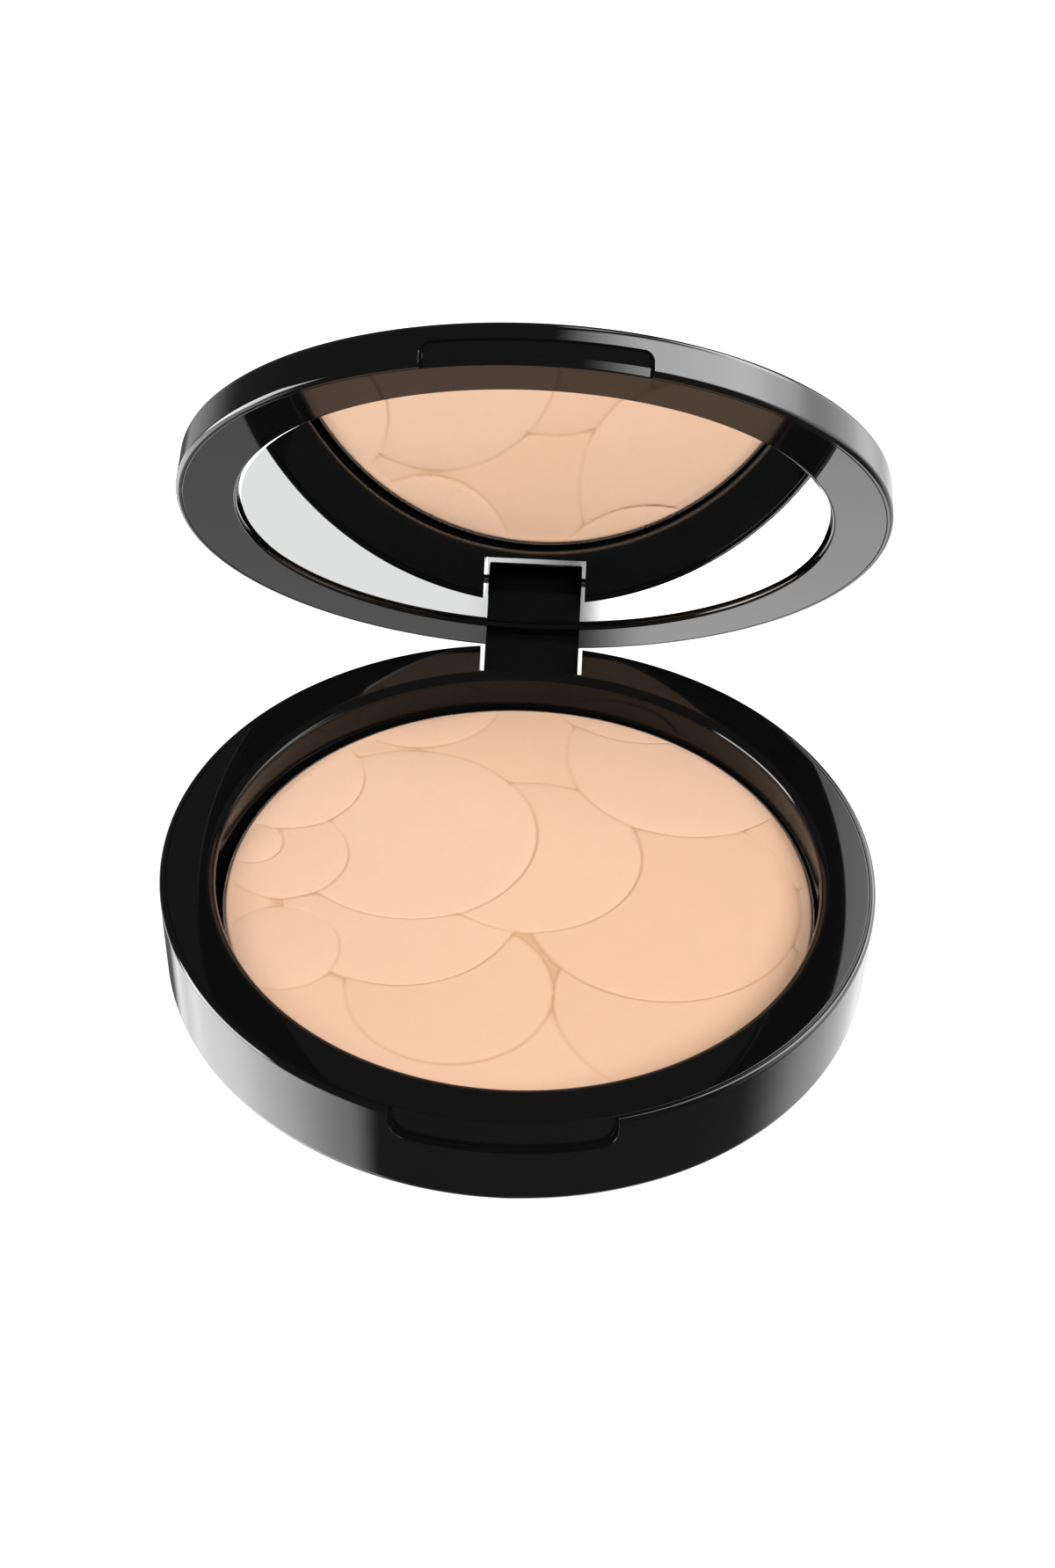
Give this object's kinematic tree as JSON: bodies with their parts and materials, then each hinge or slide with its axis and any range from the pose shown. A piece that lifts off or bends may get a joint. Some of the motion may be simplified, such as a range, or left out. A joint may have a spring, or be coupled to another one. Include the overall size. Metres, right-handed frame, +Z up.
{
  "type": "powder compact",
  "caption": "Round gloss-black powder compact, open: hinged lid with an inset mirror over a recessed pan of embossed pressed powder.",
  "frame": {"origin": "centre of the base's flat underside, on the axis of the round base", "axes": "+Z up out of the underside; +Y from the thumb notch at the front towards the hinge at the rear; +X to the right seen from the front, along the hinge pin"},
  "size_m": [0.072, 0.0798, 0.0701],
  "materials": {
    "black_gloss": "polished black moulded plastic, mirror-like gloss",
    "magnet_nickel": "nickel-plated sintered magnet",
    "adhesive_film": "translucent double-sided adhesive disc",
    "pan_metal": "thin drawn tray, satin",
    "powder": "matt pressed cosmetic powder, peach beige, embossed with overlapping round scallops",
    "pin_steel": "drawn steel wire",
    "foam_tape": "white foam mounting tape",
    "mirror_glass": "silvered glass with a narrow bevel"
  },
  "bodies": {
    "base": {"base_shell": "black_gloss", "base_frame": "black_gloss", "base_magnets": "magnet_nickel", "pan_adhesive": "adhesive_film", "powder_pan": "pan_metal", "pressed_powder": "powder", "hinge_pin": "pin_steel"},
    "lid": {"lid_shell": "black_gloss", "mirror_frame": "black_gloss", "lid_magnets": "magnet_nickel", "mirror_tape": "foam_tape", "mirror": "mirror_glass"}
  },
  "joints": [
    {"name": "lid_hinge", "type": "hinge", "parent": "base", "child": "lid", "pos_m": [0, 0.0342, 0.0045], "axis": [-1, 0, 0], "range_deg": [-60, 45]}
  ]
}
